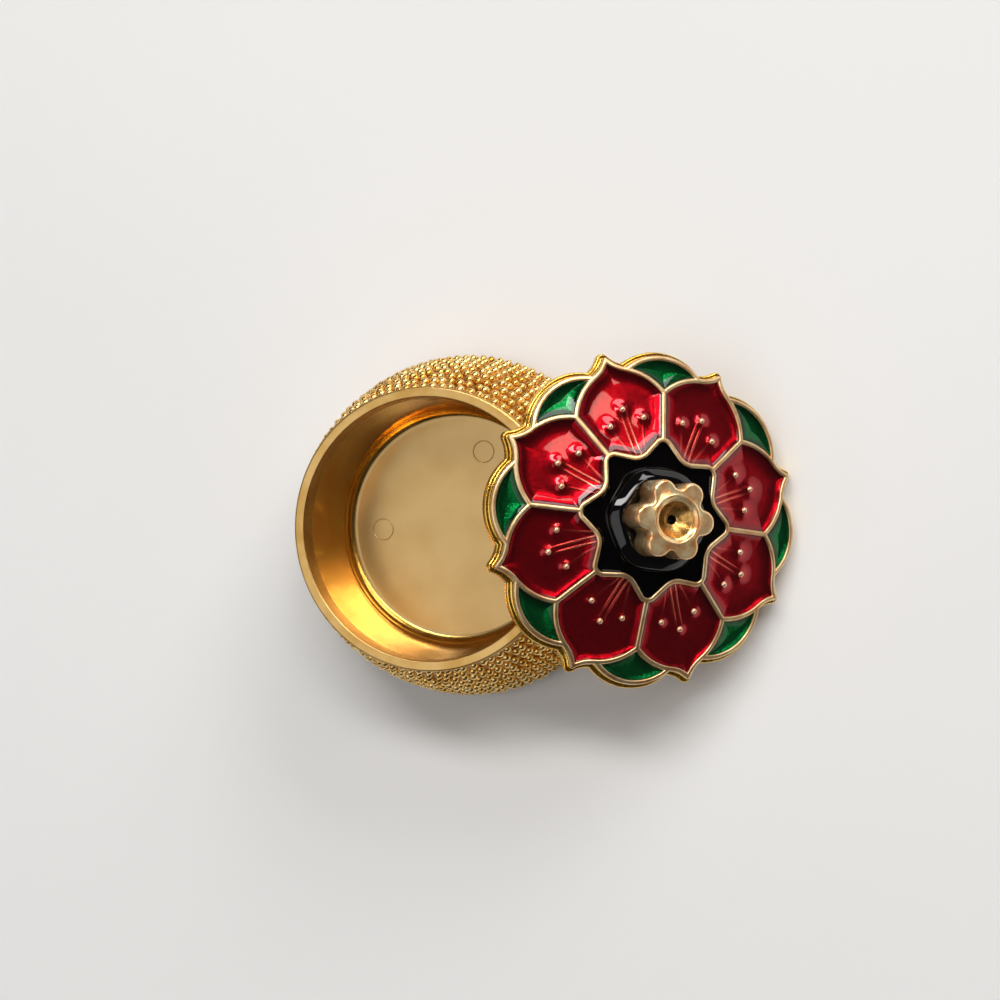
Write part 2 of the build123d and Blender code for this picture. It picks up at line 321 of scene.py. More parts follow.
def candy_enamel(name, deep, bright, metallic, grain_mm, relief_mm, coat=1.0, ridge=None):
    """Clear-coated colour over a dished metal floor, with filaments in a ridge colour, partly painted
    highlight, if one is given.
    """
    material, tree, shader = start_material(name, Metallic=metallic, Roughness=ENAMEL_ROUGHNESS)
    shader.inputs["Coat Weight"].default_value = coat
    shader.inputs["Coat Roughness"].default_value = COAT_ROUGHNESS
    shader.inputs["Specular IOR Level"].default_value = 0.0
    where = add_node(tree, "ShaderNodeTexCoord").outputs["Object"]
    grain = add_node(tree, "ShaderNodeTexNoise",
                     {"Vector": where, "Scale": 1 / (grain_mm * MM), "Detail": 3.0}).outputs["Fac"]
    wall = add_node(tree, "ShaderNodeAttribute", attribute_name="wall_distance").outputs["Fac"]
    # The colour darkens within a short reach of the walls: painted shade of the walls.
    wall_shade = add_node(tree, "ShaderNodeMapRange",
                      {"Value": wall, "From Max": WALL_SHADE_REACH,
                       "To Min": BRIGHT_AT_WALL, "To Max": BRIGHT_IN_MIDDLE}).outputs["Result"]
    mottle = add_node(tree, "ShaderNodeMapRange",
                      {"Value": grain, "From Min": GRAIN_RANGE[0], "From Max": GRAIN_RANGE[1],
                       "To Min": -MOTTLE, "To Max": MOTTLE}).outputs["Result"]
    share = add_node(tree, "ShaderNodeMath", {0: wall_shade, 1: mottle}, use_clamp=True)
    colour = add_node(tree, "ShaderNodeMix",
                      {"Factor": share.outputs["Value"], 6: linear(deep), 7: linear(bright)},
                      data_type="RGBA").outputs[2]
    slope = add_node(tree, "ShaderNodeMapRange",
                     {"Value": wall, "From Max": DISH_REACH, "To Min": 1.0, "To Max": 0.0})
    dish = add_node(tree, "ShaderNodeMath", {0: slope.outputs["Result"], 1: DISH_POWER}, operation="POWER")
    reliefs = [(dish.outputs["Value"], DISH_RISE), (grain, relief_mm)]
    if ridge:
        raised = filament_lines(tree)
        reliefs.append((raised, FILAMENT_RISE))
        # The ridge colour on the filaments is partly their pale metal and partly painted highlight.
        colour = add_node(tree, "ShaderNodeMix", {"Factor": raised, 6: colour, 7: linear(ridge)},
                          data_type="RGBA").outputs[2]
    tree.links.new(colour, shader.inputs["Base Color"])
    height = 0.0
    for relief, rise in reliefs:
        height = add_node(tree, "ShaderNodeMath", {0: relief, 1: rise, 2: height},
                          operation="MULTIPLY_ADD").outputs["Value"]
    bump = add_node(tree, "ShaderNodeBump", {"Height": height, "Distance": MM})
    tree.links.new(bump.outputs["Normal"], shader.inputs["Normal"])
    return material


# %% Enamels of the lid
# Petals: wet deep red, darker along the walls with painted shade, with pale filaments shining up through
# it, their edges partly painted highlight.
RED = candy_enamel("red_candy_enamel", "#4C0004", "#C00C1C", 0.9, grain_mm=0.6, relief_mm=0.012, coat=0.8,
                   ridge="#F27A62")
# Leaves: bottle green over a rough floor, which sparkles a little, darker along the walls with painted
# shade.
GREEN = candy_enamel("green_candy_enamel", "#001C0A", "#0A7A38", 0.82, grain_mm=0.4, relief_mm=0.05,
                     coat=0.6)
# Star: opaque black, where only the brightest lights show.
BLACK = candy_enamel("black_enamel", "#040303", "#070505", 0.0, grain_mm=0.5, relief_mm=0.0, coat=0.3)
# Collar: the same black with its full gloss, for the long glints round it.
JET = candy_enamel("collar_enamel", "#040303", "#070505", 0.0, grain_mm=0.5, relief_mm=0.0)
print("enamels made")

# %% [markdown]
# ## Camera
# The photograph looks almost straight down, from a little to the right. The camera stands where
# a fit of the rim, the petals and the knob put it. The image is square, and its centre lies a
# little away from the lens axis, so the lens is shifted.

# %% Camera
IMAGE_SIZE = 1000
CAMERA_TARGET = Vector((12.0, 0.0, 10.0))
CAMERA_DISTANCE = 200.0
CAMERA_TURNS = (("Y", 16.36), ("X", -0.97), ("Z", -2.56))
FOCAL_PIXELS = 1583.8
LENS_CENTRE = (536.955, 523.735)
SENSOR_WIDTH = 36.0


def add_camera():
    """The camera at the photograph's place."""
    turn = Matrix.Identity(3)
    for axis, angle in CAMERA_TURNS:
        turn = turn @ Matrix.Rotation(radians(angle), 3, axis)
    data = bpy.data.cameras.new("camera")
    data.sensor_width = SENSOR_WIDTH
    data.lens = FOCAL_PIXELS * SENSOR_WIDTH / IMAGE_SIZE
    data.shift_x = (IMAGE_SIZE / 2 - LENS_CENTRE[0]) / IMAGE_SIZE
    data.shift_y = (LENS_CENTRE[1] - IMAGE_SIZE / 2) / IMAGE_SIZE
    data.clip_start = 0.01
    camera = bpy.data.objects.new("camera", data)
    camera.matrix_world = turn.to_4x4()
    camera.location = (CAMERA_TARGET + turn.col[2] * CAMERA_DISTANCE) * MM
    bpy.context.scene.collection.objects.link(camera)
    bpy.context.scene.camera = camera
    print("camera at", [round(value, 4) for value in camera.location])


add_camera()

# %% [markdown]
# ## Pot
# The pot was cast in one piece, with a straight draft inside so that it came off its core. A
# turned shape is a profile spun about its axis. The corners stay sharp in the profile, and a bevel
# rounds each ring of edges after the spin. The side lies a little under the frame's surface,
# because the granules stand on it.

# %% Sizes and profile of the pot
RIM_HEIGHT = 18.15
RIM_RADIUS = 17.675
NECK_HEIGHT = 1.5
BASE_RADIUS = 22.7
SIDE_BULGE = 0.7
SIDE_SINK = 0.3
MOUTH_RADIUS = 16.35
MOUTH_DEPTH = 2.6
RIM_FALL = 0.06
FLOOR_RADIUS = 15.2
FLOOR_HEIGHT = 6.1
BASE_ROUNDING = 1.3
RIM_ROUNDING = 0.32
MOUTH_ROUNDING = 0.16
WELL_FILLET = 1.25
POT_SIDES = 192
SIDE_STEPS = 14
RING_TOLERANCE = 0.01


def side_point(share):
    """Point of the bulging side, from the base at 0 to the neck at 1."""
    base = Vector((BASE_RADIUS, 0))
    neck = Vector((RIM_RADIUS, RIM_HEIGHT - NECK_HEIGHT))
    outwards = Vector((neck.y - base.y, base.x - neck.x)).normalized()
    return base.lerp(neck, share) + outwards * SIDE_BULGE * 4 * share * (1 - share)


def ring_at(bm, radius, height):
    """Edges of a turned mesh that run round at a radius and a height."""
    def on_ring(vert):
        off_radius = abs(hypot(vert.co.x, vert.co.y) - radius)
        return max(off_radius, abs(vert.co.z - height)) < RING_TOLERANCE
    return [edge for edge in bm.edges if all(on_ring(vert) for vert in edge.verts)]


# %% Finishes on the pot
POT_FINISHES = [POLISHED, SATIN, HOLLOW, CORNER_SHADE_GOLD, RIM]
FOOT_WIDTH = 0.7
FLAT_TOLERANCE = 0.09


def pot_finish(face):
    """Which finish a face of the pot has, told by where its middle lies."""
    centre = face.calc_center_median()
    radius = hypot(centre.x, centre.y)
    off_floor = abs(centre.z - FLOOR_HEIGHT)
    if centre.z > RIM_HEIGHT - NECK_HEIGHT and radius > MOUTH_RADIUS - RING_TOLERANCE:
        return RIM
    if radius < FLOOR_RADIUS - FOOT_WIDTH and off_floor < FLAT_TOLERANCE:
        return SATIN
    # The foot ring round the floor takes the painted shade of the corner.
    if radius < FLOOR_RADIUS and off_floor < FOOT_WIDTH:
        return CORNER_SHADE_GOLD
    # The outer side takes the brown gold that paints the shade between the granules.
    return HOLLOW if radius > MOUTH_RADIUS else POLISHED


# %% Pot shell
def pot_shell():
    """The pot, spun from its profile, with rounded corners."""
    side = [side_point(index / SIDE_STEPS) for index in range(SIDE_STEPS + 1)]
    base = (BASE_RADIUS - SIDE_SINK, 0)
    mouth_end = RIM_HEIGHT - MOUTH_DEPTH
    profile = [(0, 0), base]
    profile += [(point.x - SIDE_SINK, point.y) for point in side[1:-1]]
    profile += [(RIM_RADIUS, RIM_HEIGHT - NECK_HEIGHT), (RIM_RADIUS, RIM_HEIGHT)]
    profile += [(MOUTH_RADIUS, RIM_HEIGHT - RIM_FALL), (MOUTH_RADIUS, mouth_end)]
    profile += [(FLOOR_RADIUS, FLOOR_HEIGHT), (0, FLOOR_HEIGHT)]
    bm = bmesh.new()
    verts = [bm.verts.new((radius, 0, height)) for radius, height in profile]
    for first, second in zip(verts, verts[1:]):
        bm.edges.new((first, second))
    bmesh.ops.spin(bm, geom=bm.verts[:] + bm.edges[:], cent=(0, 0, 0), axis=(0, 0, 1),
                   angle=2 * pi, steps=POT_SIDES, use_merge=True)
    bmesh.ops.remove_doubles(bm, verts=bm.verts, dist=0.001)
    bmesh.ops.recalc_face_normals(bm, faces=bm.faces)
    roundings = (
        (*base, BASE_ROUNDING, 6),
        (RIM_RADIUS, RIM_HEIGHT, RIM_ROUNDING, 4),
        (MOUTH_RADIUS, RIM_HEIGHT - RIM_FALL, MOUTH_ROUNDING, 3),
        (FLOOR_RADIUS, FLOOR_HEIGHT, WELL_FILLET, 8),
    )
    for radius, height, setback, segments in roundings:
        bmesh.ops.bevel(bm, geom=ring_at(bm, radius, height), offset=setback, segments=segments,
                        profile=0.5, affect="EDGES", material=-1)
    for face in bm.faces:
        face.material_index = POT_FINISHES.index(pot_finish(face))
    print("pot open edges:", open_edges(bm))
    pot = finish_piece(bm, "pot_shell", "pot", POT_FINISHES, replaced=["pot"])
    pot.modifiers.new("weighted normals", "WEIGHTED_NORMAL")


pot_shell()

# %% [markdown]
# ## Granules
# The outside was cast from a pattern beaded all over, so it has round grains in staggered rows,
# not quite even. A half ball with few faces is made once, and a copy of it is laid at each place
# along each row. A displacement map would be lighter, but it would leave nothing in the mesh.

# %% One granule
GRANULE_CUT = -0.15


def granule_mesh():
    """A little more than half a ball, closed underneath, with a radius of 1."""
    bm = bmesh.new()
    bmesh.ops.create_icosphere(bm, subdivisions=2, radius=1.0)
    bmesh.ops.bisect_plane(bm, geom=bm.verts[:] + bm.edges[:] + bm.faces[:],
                           plane_co=(0, 0, GRANULE_CUT), plane_no=(0, 0, 1), clear_inner=True)
    bmesh.ops.holes_fill(bm, edges=[edge for edge in bm.edges if edge.is_boundary])
    mesh = bpy.data.meshes.new("granule")
    bm.to_mesh(mesh)
    bm.free()
    return mesh


# %% Granules on the pot's side
GRANULE_PITCH = 1.22
ROW_PITCH = 1.8
GRANULE_RADIUS = 0.58
GRANULE_HEIGHT = 0.66
GRANULE_JITTER = 0.16
GRANULE_SIZES = (0.92, 1.1)
GRANULE_SEED = 7
SLOPE_STEP = 0.01


def pot_granules():
    """Staggered rows of granules, from the neck down to the base's rounding."""
    chance = random.Random(GRANULE_SEED)
    laid = 0
    granule = granule_mesh()
    bm = bmesh.new()
    slant = (side_point(1) - side_point(0)).length
    rows = int((slant - GRANULE_RADIUS) / ROW_PITCH)
    for row in range(rows):
        share = 1 - (row * ROW_PITCH + GRANULE_RADIUS) / slant
        point = side_point(share)
        ahead = side_point(share + SLOPE_STEP) - side_point(share - SLOPE_STEP)
        tilt = atan2(ahead.x, ahead.y)
        count = round(2 * pi * point.x / GRANULE_PITCH)
        laid += count
        for index in range(count):
            angle = 2 * pi * (index + 0.5 * (row % 2) + chance.uniform(-1, 1) * GRANULE_JITTER) / count
            size = GRANULE_RADIUS * chance.uniform(*GRANULE_SIZES)
            rise = point.y + chance.uniform(-1, 1) * GRANULE_JITTER * GRANULE_PITCH
            place = Matrix.Rotation(angle, 4, "Z") @ Matrix.Translation((point.x - SIDE_SINK, 0, rise))
            place = place @ Matrix.Rotation(pi / 2 + tilt, 4, "Y")
            grain = granule.copy()
            grain.transform(place @ Matrix.Diagonal((size, size, GRANULE_HEIGHT, 1)))
            bm.from_mesh(grain)
            bpy.data.meshes.remove(grain)
    bpy.data.meshes.remove(granule)
    print("granules:", laid, "in", rows, "rows")
    finish_piece(bm, "pot_granules", "pot", [BEADED])


pot_granules()

# %% [markdown]
# ## Ejector rings
# Pins pushed the casting out of its mould, and each left a faint raised ring on the floor of the
# well. A ring is a small circle spun about the pin's axis.

# %% Ejector rings
EJECTOR_CIRCLE_RADIUS = 10.4
EJECTOR_RADIUS = 1.4
EJECTOR_TURNS = (67, 180)
EJECTOR_RIDGE = 0.07


def ejector_rings():
    """Thin raised rings on the floor of the well."""
    bm = bmesh.new()
    for turn in EJECTOR_TURNS:
        centre = Vector((cos(radians(turn)), sin(radians(turn)), 0)) * EJECTOR_CIRCLE_RADIUS
        centre.z = FLOOR_HEIGHT
        section = bmesh.ops.create_circle(bm, segments=8, radius=EJECTOR_RIDGE)["verts"]
        upright = Matrix.Rotation(pi / 2, 4, "X")
        place = Matrix.Translation(centre + Vector((EJECTOR_RADIUS, 0, 0))) @ upright
        bmesh.ops.transform(bm, matrix=place, verts=section)
        edges = list({edge for vert in section for edge in vert.link_edges})
        bmesh.ops.spin(bm, geom=section + edges, cent=centre, axis=(0, 0, 1), angle=2 * pi,
                       steps=40, use_merge=True)
    bmesh.ops.remove_doubles(bm, verts=bm.verts, dist=0.0005)
    bmesh.ops.recalc_face_normals(bm, faces=bm.faces)
    print("ejector open edges:", open_edges(bm))
    finish_piece(bm, "ejector_rings", "pot", [SATIN])


ejector_rings()

# %% [markdown]
# ## Outlines of the lid
# The lid is a flower seen along its own axis: eight pointed petals, a leaf between each two, and a
# wavy star. Every outline is arcs and short straight runs, drawn to the middle of the walls, and
# moving an outline in or out only changes the arcs' radii. So one function gives each outline at any
# distance from its walls, always with the same number of points.

# %% Sizes of the flower
PETALS = 8
HALF_PITCH = pi / PETALS
PETAL_TIP = Vector((20.0, 0.0))
PETAL_TURN = Vector((18.35, 2.0))
SHOULDER_BULGE = 0.55
VALLEY_RADIUS = 15.55
STAR_TIP_RADIUS = 10.3
STAR_TIP_FILLET = 1.1
STAR_NOTCH_RADIUS = 7.5
STAR_NOTCH_FILLET = 2.2
LEAF_CENTRE = Vector((13.2, 0.0))
LEAF_RADIUS = 6.6
HALF_WALL = 0.3


def polar(radius, angle):
    """Point at a radius and an angle."""
    return Vector((radius * cos(angle), radius * sin(angle)))


def turned(point, angle):
    """A flat point turned about the lid's axis."""
    return Matrix.Rotation(angle, 2) @ point


def heading(centre, point):
    """Angle at which a point is seen from a centre."""
    return atan2(point.y - centre.y, point.x - centre.x)


def arc(centre, radius, start, end, steps):
    """Points along an arc, both ends included."""
    return [centre + polar(radius, start + (end - start) * step / steps) for step in range(steps + 1)]


# %% Circles that the outlines follow
valley = polar(VALLEY_RADIUS, HALF_PITCH)
chord = PETAL_TURN - valley
SHOULDER_RADIUS = chord.length_squared / (8 * SHOULDER_BULGE) + SHOULDER_BULGE / 2
bulge_way = Vector((-chord.y, chord.x)).normalized()
SHOULDER_CENTRE = (valley + PETAL_TURN) / 2 - bulge_way * (SHOULDER_RADIUS - SHOULDER_BULGE)
turn_normal = (PETAL_TURN - SHOULDER_CENTRE).normalized()
to_tip = PETAL_TIP - PETAL_TURN
FLARE_RADIUS = to_tip.length_squared / (2 * to_tip.dot(turn_normal))
FLARE_CENTRE = PETAL_TURN + turn_normal * FLARE_RADIUS

notch = Vector((STAR_NOTCH_RADIUS, 0))
star_edge = (polar(STAR_TIP_RADIUS, HALF_PITCH) - notch).normalized()
EDGE_NORMAL = atan2(-star_edge.x, star_edge.y)
NOTCH_CENTRE = notch + Vector((STAR_NOTCH_FILLET / star_edge.y, 0))
tip_half_angle = HALF_PITCH - atan2(star_edge.y, star_edge.x)
STAR_TIP_CENTRE = polar(STAR_TIP_RADIUS - STAR_TIP_FILLET / abs(sin(tip_half_angle)), HALF_PITCH)
print("shoulder radius", round(SHOULDER_RADIUS, 3), "flare radius", round(FLARE_RADIUS, 3))

# %% Petal outline
ARC_STEPS = 10
LONG_ARC_STEPS = 30


def whole(half):
    """A half outline, from the X axis to the X axis, with its mirror image."""
    return half + [Vector((point.x, -point.y)) for point in reversed(half[1:-1])]


def petal_outline(inset):
    """A petal along +X, moved in from the middle of its walls."""
    half = arc(NOTCH_CENTRE, STAR_NOTCH_FILLET - inset, pi, pi + EDGE_NORMAL, ARC_STEPS)
    star_tip = STAR_TIP_FILLET + inset
    meets_side = HALF_PITCH - asin(inset / star_tip)
    lobe = arc(STAR_TIP_CENTRE, star_tip, EDGE_NORMAL, meets_side, ARC_STEPS)
    half += [half[-1].lerp(lobe[0], step / ARC_STEPS) for step in range(1, ARC_STEPS)]
    half += lobe
    edge = Vector((sin(HALF_PITCH), -cos(HALF_PITCH))) * inset
    far = edge + polar(PETAL_TIP.x, HALF_PITCH)
    shoulder = SHOULDER_RADIUS - inset
    corner = max(geometry.intersect_line_sphere_2d(edge, far, SHOULDER_CENTRE, shoulder, True),
                 key=lambda point: point.length if point else 0)
    half += [lobe[-1].lerp(corner, step / LONG_ARC_STEPS) for step in range(1, LONG_ARC_STEPS)]
    half += arc(SHOULDER_CENTRE, shoulder, heading(SHOULDER_CENTRE, corner),
                heading(SHOULDER_CENTRE, PETAL_TURN), LONG_ARC_STEPS)
    flare = FLARE_RADIUS + inset
    tip = Vector((FLARE_CENTRE.x - sqrt(flare ** 2 - FLARE_CENTRE.y ** 2), 0))
    half += arc(FLARE_CENTRE, flare, heading(FLARE_CENTRE, PETAL_TURN), heading(FLARE_CENTRE, tip),
                ARC_STEPS)[1:]
    return whole(half)


print("points round a petal:", len(petal_outline(HALF_WALL)))


# %% Leaf outline
def leaf_outline(inset):
    """A leaf along +X, moved in from the middle of its walls."""
    shoulder_centre = turned(Vector((SHOULDER_CENTRE.x, -SHOULDER_CENTRE.y)), HALF_PITCH)
    shoulder = SHOULDER_RADIUS + inset
    corners = geometry.intersect_sphere_sphere_2d(LEAF_CENTRE, LEAF_RADIUS - inset,
                                                  shoulder_centre, shoulder)
    corner = max(corners, key=lambda point: point.length)
    root = Vector((shoulder_centre.x + sqrt(shoulder ** 2 - shoulder_centre.y ** 2), 0))
    half = arc(LEAF_CENTRE, LEAF_RADIUS - inset, 0, heading(LEAF_CENTRE, corner), LONG_ARC_STEPS)
    half += arc(shoulder_centre, shoulder, heading(shoulder_centre, corner),
                heading(shoulder_centre, root), LONG_ARC_STEPS)[1:]
    return whole(half)


print("points round a leaf:", len(leaf_outline(HALF_WALL)))


# %% Outlines of the star and the whole flower
def all_round(sector, copies, start=0.0):
    """A half sector's outline, from its axis to its edge, mirrored and repeated all round from a start."""
    points = []
    mirror = [Vector((point.x, -point.y)) for point in reversed(sector[1:])]
    for index in range(copies):
        points += [turned(point, start + 2 * pi * index / copies) for point in mirror + sector[:-1]]
    return points


def star_outline(inset):
    """The star, moved in from the middle of its wall."""
    sector = arc(NOTCH_CENTRE, STAR_NOTCH_FILLET + inset, pi, pi + EDGE_NORMAL, ARC_STEPS)
    lobe = arc(STAR_TIP_CENTRE, STAR_TIP_FILLET - inset, EDGE_NORMAL, HALF_PITCH, ARC_STEPS)
    sector += [sector[-1].lerp(lobe[0], step / ARC_STEPS) for step in range(1, ARC_STEPS)]
    return all_round(sector + lobe, PETALS)


def flower_outline(outset):
    """The whole flower, moved out from the middle of its outer walls."""
    leaf_centre = turned(LEAF_CENTRE, HALF_PITCH)
    corners = geometry.intersect_sphere_sphere_2d(SHOULDER_CENTRE, SHOULDER_RADIUS + outset,
                                                  leaf_centre, LEAF_RADIUS + outset)
    corner = max(corners, key=lambda point: point.length)
    sector = arc(PETAL_TIP, outset, 0, heading(PETAL_TIP, FLARE_CENTRE), ARC_STEPS)
    sector += arc(FLARE_CENTRE, FLARE_RADIUS - outset, heading(FLARE_CENTRE, PETAL_TIP),
                  heading(FLARE_CENTRE, PETAL_TURN), ARC_STEPS)[1:]
    sector += arc(SHOULDER_CENTRE, SHOULDER_RADIUS + outset, heading(SHOULDER_CENTRE, PETAL_TURN),
                  heading(SHOULDER_CENTRE, corner), ARC_STEPS)[1:]
    sector += arc(leaf_centre, LEAF_RADIUS + outset, heading(leaf_centre, corner), HALF_PITCH,
                  ARC_STEPS)[1:]
    return all_round(sector, PETALS)


print("points round the star and the flower:", len(star_outline(HALF_WALL)), len(flower_outline(HALF_WALL)))

# %% [markdown]
# ## Place of the lid
# The lid leans with its lowest edge on the floor. Its lean and turn are known, so its height follows
# from the reach of its ledge, and how far along it lies follows from the frame's own box.

# %% Lid place and crown
LEAN = radians(36.3)
LID_TURN = radians(13.2)
CROWN_EDGE_HEIGHT = 1.9
CROWN_SLOPE = tan(radians(13.1))
LEDGE_OUTSET = 0.8


def crown_height(radius):
    """Height of the wall tops above the lid's seat: a shallow cone."""
    return CROWN_EDGE_HEIGHT + CROWN_SLOPE * (PETAL_TIP.x - radius)


def lid_place():
    """Where the lid's own frame lies, in metres."""
    reach = max(turned(point, LID_TURN).x for point in flower_outline(LEDGE_OUTSET))
    far_edge = max(turned(point, LID_TURN).x * cos(LEAN) + crown_height(point.length) * sin(LEAN)
                   for point in flower_outline(HALF_WALL))
    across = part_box("lid_casting")[1].x / MM - far_edge
    print("lid seat centre:", round(across, 3), round(reach * sin(LEAN), 3))
    place = Matrix.Translation(Vector((across, 0, reach * sin(LEAN))) * MM)
    return place @ Matrix.Rotation(LEAN, 4, "Y") @ Matrix.Rotation(LID_TURN, 4, "Z")


LID_PLACE = lid_place()


# %% Outlines in space
def on_crown(outline, drop):
    """An outline laid on the crown, or a drop below it."""
    return [Vector((point.x, point.y, crown_height(point.length) - drop)) for point in outline]


def at_height(outline, height):
    """An outline laid level."""
    return [Vector((point.x, point.y, height)) for point in outline]


def round_with(outline, radius, height):
    """A level circle with a point for each point of an outline."""
    return at_height([point.normalized() * radius for point in outline], height)


# %% [markdown]
# ## Lid casting
# The casting carries the flower: thin walls round every cell, a stepped ledge outside them, and a
# short spigot below that drops into the pot's mouth. The wall tops are one flat fill with a hole
# for each cell. From each hole, rings go down over the wall's rounded shoulder to the cell's floor,
# and outside they go over the ledge and under it. Bridge twists two rings that lie in one plane, so
# each level step is dished by a hair.

# %% Rings of the casting
WALL_ROUNDING = 0.22
ROUNDING_STEPS = 4
CELL_DEPTH = 0.9
LEDGE_HEIGHT = 0.95
SPIGOT_RADIUS = 16.05
SPIGOT_INNER_RADIUS = 14.75
SPIGOT_HEIGHT = 1.2
SPIGOT_CHAMFER = 0.15
UNDERSIDE_RECESS = 0.8
DISHED = 0.02
# Outset and height of each ring: from the flower's wall over the ledge to the seat.
LEDGE_RINGS = ((0.32, 0.8), (0.44, 0.92), (0.6, LEDGE_HEIGHT), (0.72, 0.9), (0.78, 0.8),
               (LEDGE_OUTSET, 0.65), (LEDGE_OUTSET, 0.15), (0.76, 0.04), (0.68, 0.0))
# Radius and height of each ring: down outside the spigot, over its end and up into the recess.
SPIGOT_RINGS = ((SPIGOT_RADIUS, DISHED), (SPIGOT_RADIUS, SPIGOT_CHAMFER - SPIGOT_HEIGHT),
                (SPIGOT_RADIUS - SPIGOT_CHAMFER, -SPIGOT_HEIGHT),
                (SPIGOT_INNER_RADIUS + SPIGOT_CHAMFER, DISHED - SPIGOT_HEIGHT),
                (SPIGOT_INNER_RADIUS, SPIGOT_CHAMFER - SPIGOT_HEIGHT),
                (SPIGOT_INNER_RADIUS, UNDERSIDE_RECESS))
LID_FINISHES = [WALL, SKIRT]


def shoulder_steps():
    """How far a wall's rounded shoulder goes out and down, from its flat top to its side."""
    flat = HALF_WALL - WALL_ROUNDING
    for step in range(ROUNDING_STEPS + 1):
        angle = pi / 2 * step / ROUNDING_STEPS
        yield flat + WALL_ROUNDING * sin(angle), WALL_ROUNDING * (1 - cos(angle))


def cell_outlines(inset):
    """Every cell's outline at an inset: the star, then petals and leaves in turn."""
    cells = [star_outline(inset)]
    for index in range(PETALS):
        angle = 2 * HALF_PITCH * index
        cells.append([turned(point, angle) for point in petal_outline(inset)])
        cells.append([turned(point, angle + HALF_PITCH) for point in leaf_outline(inset)])
    return cells


# %% Lid casting
def lid_casting():
    """Walls, ledge and spigot as one closed casting."""
    bm = bmesh.new()
    cells = [[] for _ in range(2 * PETALS + 1)]
    outside = []
    for inset, drop in shoulder_steps():
        for rings, outline in zip(cells, cell_outlines(inset)):
            rings.append(add_ring(bm, on_crown(outline, drop)))
        outside.append(add_ring(bm, on_crown(flower_outline(inset), drop)))
    for rings, outline in zip(cells, cell_outlines(HALF_WALL)):
        rings.append(add_ring(bm, on_crown(outline, CELL_DEPTH)))
        skin(bm, rings)
        close_ring(bm, rings[-1])
    tops = outside[0] + [edge for rings in cells for edge in rings[0]]
    bmesh.ops.triangle_fill(bm, edges=tops, use_beauty=True, normal=(0, 0, 1))
    skin(bm, outside)
    for outset, height in LEDGE_RINGS:
        outside.append(add_ring(bm, at_height(flower_outline(outset), height)))
    seat = flower_outline(LEDGE_OUTSET)
    for radius, height in SPIGOT_RINGS:
        outside.append(add_ring(bm, round_with(seat, radius, height)))
    skin(bm, outside[ROUNDING_STEPS:], material=LID_FINISHES.index(SKIRT))
    close_ring(bm, outside[-1], material=LID_FINISHES.index(SKIRT))
    bmesh.ops.recalc_face_normals(bm, faces=bm.faces)
    print("casting open edges:", open_edges(bm))
    finish_piece(bm, "flower_casting", "lid", LID_FINISHES, LID_PLACE, ["lid_casting"])


lid_casting()

# %% [markdown]
# ## Stamens
# Each filament ends in a pin whose round head stands just out of the enamel. They are small balls,
# three to a petal, made with few faces because there are twenty-four.

# %% Stamens
STAMEN_RADIUS = 0.42
STAMEN_DROP = 0.02


def stamen_places():
    """The three pins of the petal along +X."""
    return [Vector((MIDDLE_STAMEN_RADIUS, 0)), SIDE_STAMEN, Vector((SIDE_STAMEN.x, -SIDE_STAMEN.y))]


def stamens():
    """Round pin heads in every petal."""
    bm = bmesh.new()
    for index in range(PETALS):
        for place in stamen_places():
            point = turned(place, 2 * HALF_PITCH * index)
            height = crown_height(point.length) - STAMEN_DROP - STAMEN_RADIUS
            bmesh.ops.create_uvsphere(bm, u_segments=14, v_segments=9, radius=STAMEN_RADIUS,
                                      matrix=Matrix.Translation((point.x, point.y, height)))
    finish_piece(bm, "stamens", "lid", [PIN], LID_PLACE)


stamens()

# %% [markdown]
# ## Enamel
# Liquid enamel creeps up the walls and dries with a hollow surface, and it creeps up each pin too.
# Rings follow the cell's outline close to the wall, where the surface bends most, and shrink
# to the middle beyond. How far each point lies from its wall is kept with the mesh for the finish.

# %% Surface of the enamel
WALL_DROP = 0.22
POOL_DROP = 0.33
CREEP_REACH = 0.62
PIN_RISE = 0.24
PIN_REACH = 0.4


def enamel_drop(distance):
    """How far the enamel lies below the wall tops at a distance from the wall."""
    return WALL_DROP + POOL_DROP * (1 - exp(-distance / CREEP_REACH))


def pin_rise(point):
    """How far the enamel creeps up beside the nearest pin."""
    gap = min((point - place).length for place in stamen_places()) - STAMEN_RADIUS
    return PIN_RISE * exp(-max(gap, 0.0) / PIN_REACH)


# %% Measures for the enamel's finish
def tree_of(outline):
    """A search tree over an outline's points."""
    tree = kdtree.KDTree(len(outline))
    for index, point in enumerate(outline):
        tree.insert(point.to_3d(), index)
    tree.balance()
    return tree


def keep_measures(bm, tree):
    """Stores each point's distance from the wall, and its place along and across the petal."""
    names = ("wall_distance", "petal_along", "petal_across")
    layers = [bm.verts.layers.float.new(name) for name in names]
    for vert in bm.verts:
        flat = Vector((vert.co.x, vert.co.y, 0))
        for layer, value in zip(layers, (tree.find(flat)[2], flat.x, flat.y)):
            vert[layer] = value


# %% Outlines on the enamel
def on_enamel(outline, tree, has_pins=False):
    """An outline laid on the enamel's hollow surface."""
    points = []
    for point in outline:
        drop = enamel_drop(tree.find(point.to_3d())[2])
        drop -= pin_rise(point) if has_pins else 0.0
        points.append(Vector((point.x, point.y, crown_height(point.length) - drop)))
    return points


# %% Petal and leaf enamel
CREEP_STEPS = (0.0, 0.05, 0.11, 0.18, 0.27, 0.36)
POOL_RINGS = 18
PETAL_MIDDLE = Vector((13.6, 0.0))
LEAF_MIDDLE = Vector((18.3, 0.0))


